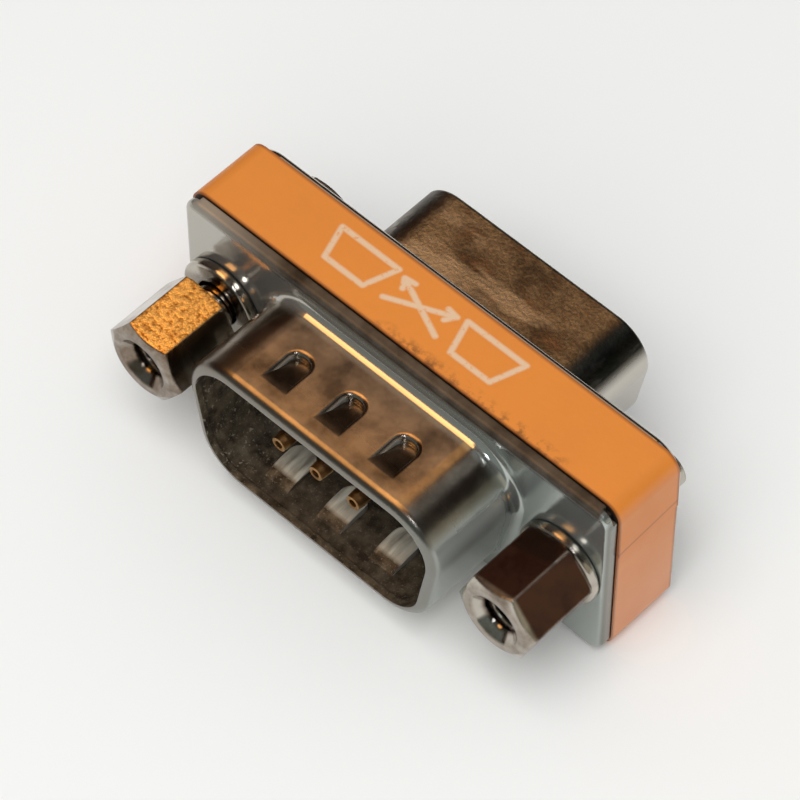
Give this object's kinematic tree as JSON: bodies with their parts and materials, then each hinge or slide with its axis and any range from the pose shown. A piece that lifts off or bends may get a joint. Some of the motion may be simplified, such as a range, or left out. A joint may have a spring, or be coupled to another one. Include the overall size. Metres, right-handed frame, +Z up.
{
  "type": "null modem adapter",
  "caption": "Slim male-to-female serial adapter: D-shaped ports back to back, hexagonal jack standoffs in front and an orange band round its edge.",
  "frame": {"origin": "middle of the male flange's front face", "axes": "+X across both ports, -Y the way the male port faces, +Y the way the female port faces, +Z up with the wide side of both D shapes on top"},
  "size_m": [0.0311, 0.018, 0.0128],
  "materials": {
    "plated_shell": "nickel-plated pressed steel",
    "fastener": "nickel-plated turned steel",
    "gold_contact": "gold-flashed brass",
    "insulator": "moulded black thermoplastic",
    "board": "green solder mask on glass laminate",
    "solder": "tin solder",
    "frame": "moulded dark thermoplastic",
    "label": "orange vinyl film, worn and stained"
  },
  "bodies": {
    "root": {"male_shell": "plated_shell", "female_shell": "plated_shell", "male_insulator": "insulator", "female_insulator": "insulator", "male_pin_1": "gold_contact", "male_pin_2": "gold_contact", "male_pin_3": "gold_contact", "male_pin_4": "gold_contact", "male_pin_5": "gold_contact", "male_pin_6": "gold_contact", "male_pin_7": "gold_contact", "male_pin_8": "gold_contact", "female_contact_1": "gold_contact", "female_contact_2": "gold_contact", "female_contact_3": "gold_contact", "female_contact_4": "gold_contact", "female_contact_5": "gold_contact", "female_contact_6": "gold_contact", "female_contact_7": "gold_contact", "female_contact_8": "gold_contact", "female_contact_9": "gold_contact", "cross_wiring_board": "board", "front_solder_joints": "solder", "rear_solder_joints": "solder", "spacer_frame": "frame", "wrap_label": "label", "left_jack_standoff": "fastener", "left_lock_washer": "fastener", "right_jack_standoff": "fastener", "right_lock_washer": "fastener", "left_rear_nut": "fastener"}
  },
  "joints": []
}
